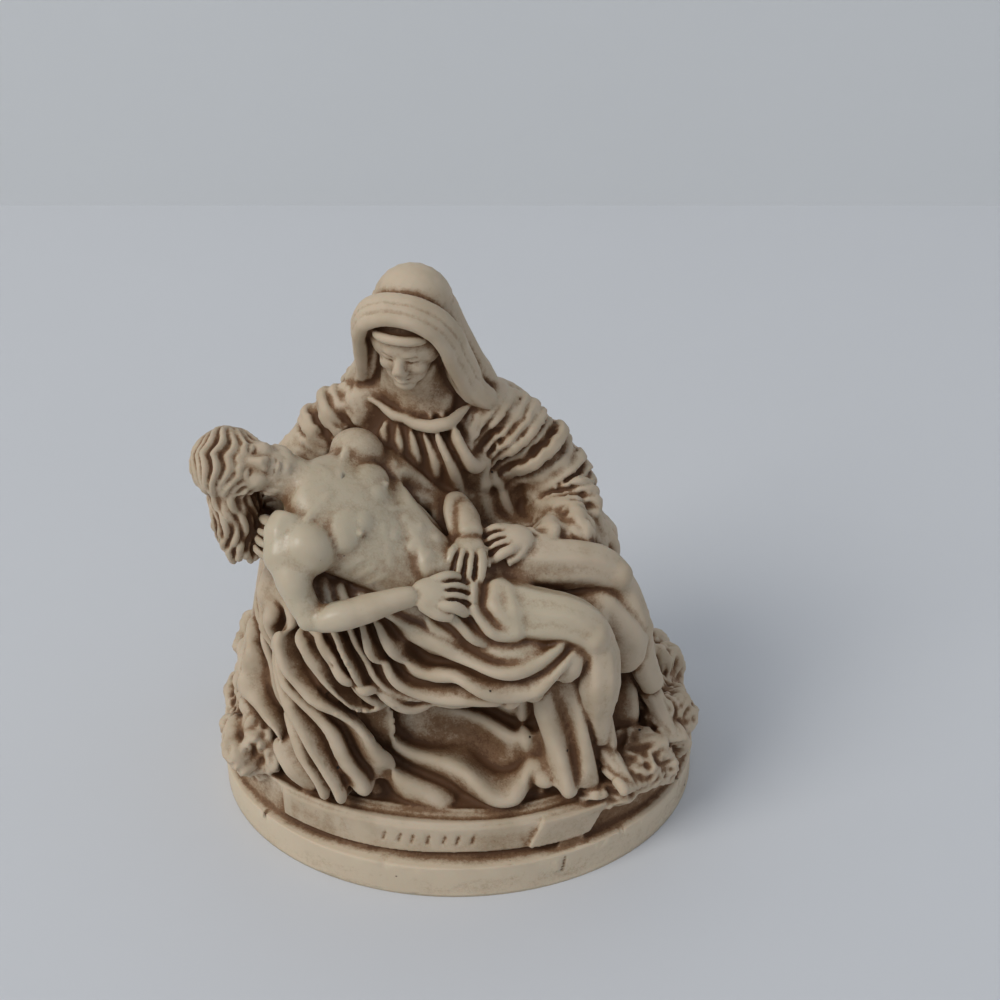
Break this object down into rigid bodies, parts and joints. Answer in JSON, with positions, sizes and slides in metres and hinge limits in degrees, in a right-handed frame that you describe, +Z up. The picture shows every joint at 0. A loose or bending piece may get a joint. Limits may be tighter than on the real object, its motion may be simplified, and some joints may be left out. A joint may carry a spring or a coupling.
{
  "type": "pieta statuette",
  "caption": "Small cast resin pieta: a hooded seated mother holds her son across her knees, on an oval two-tier base with a ribbon.",
  "frame": {"origin": "middle of the oval underside, on the surface that the statuette stands on", "axes": "+Z up; +X to the right of a viewer who faces the front, along the base's long axis; +Y from the front to the back"},
  "size_m": [0.09, 0.074, 0.104],
  "materials": {
    "ivory_resin": "satin"
  },
  "bodies": {
    "root": {"pieta_statue": "ivory_resin"}
  },
  "joints": []
}
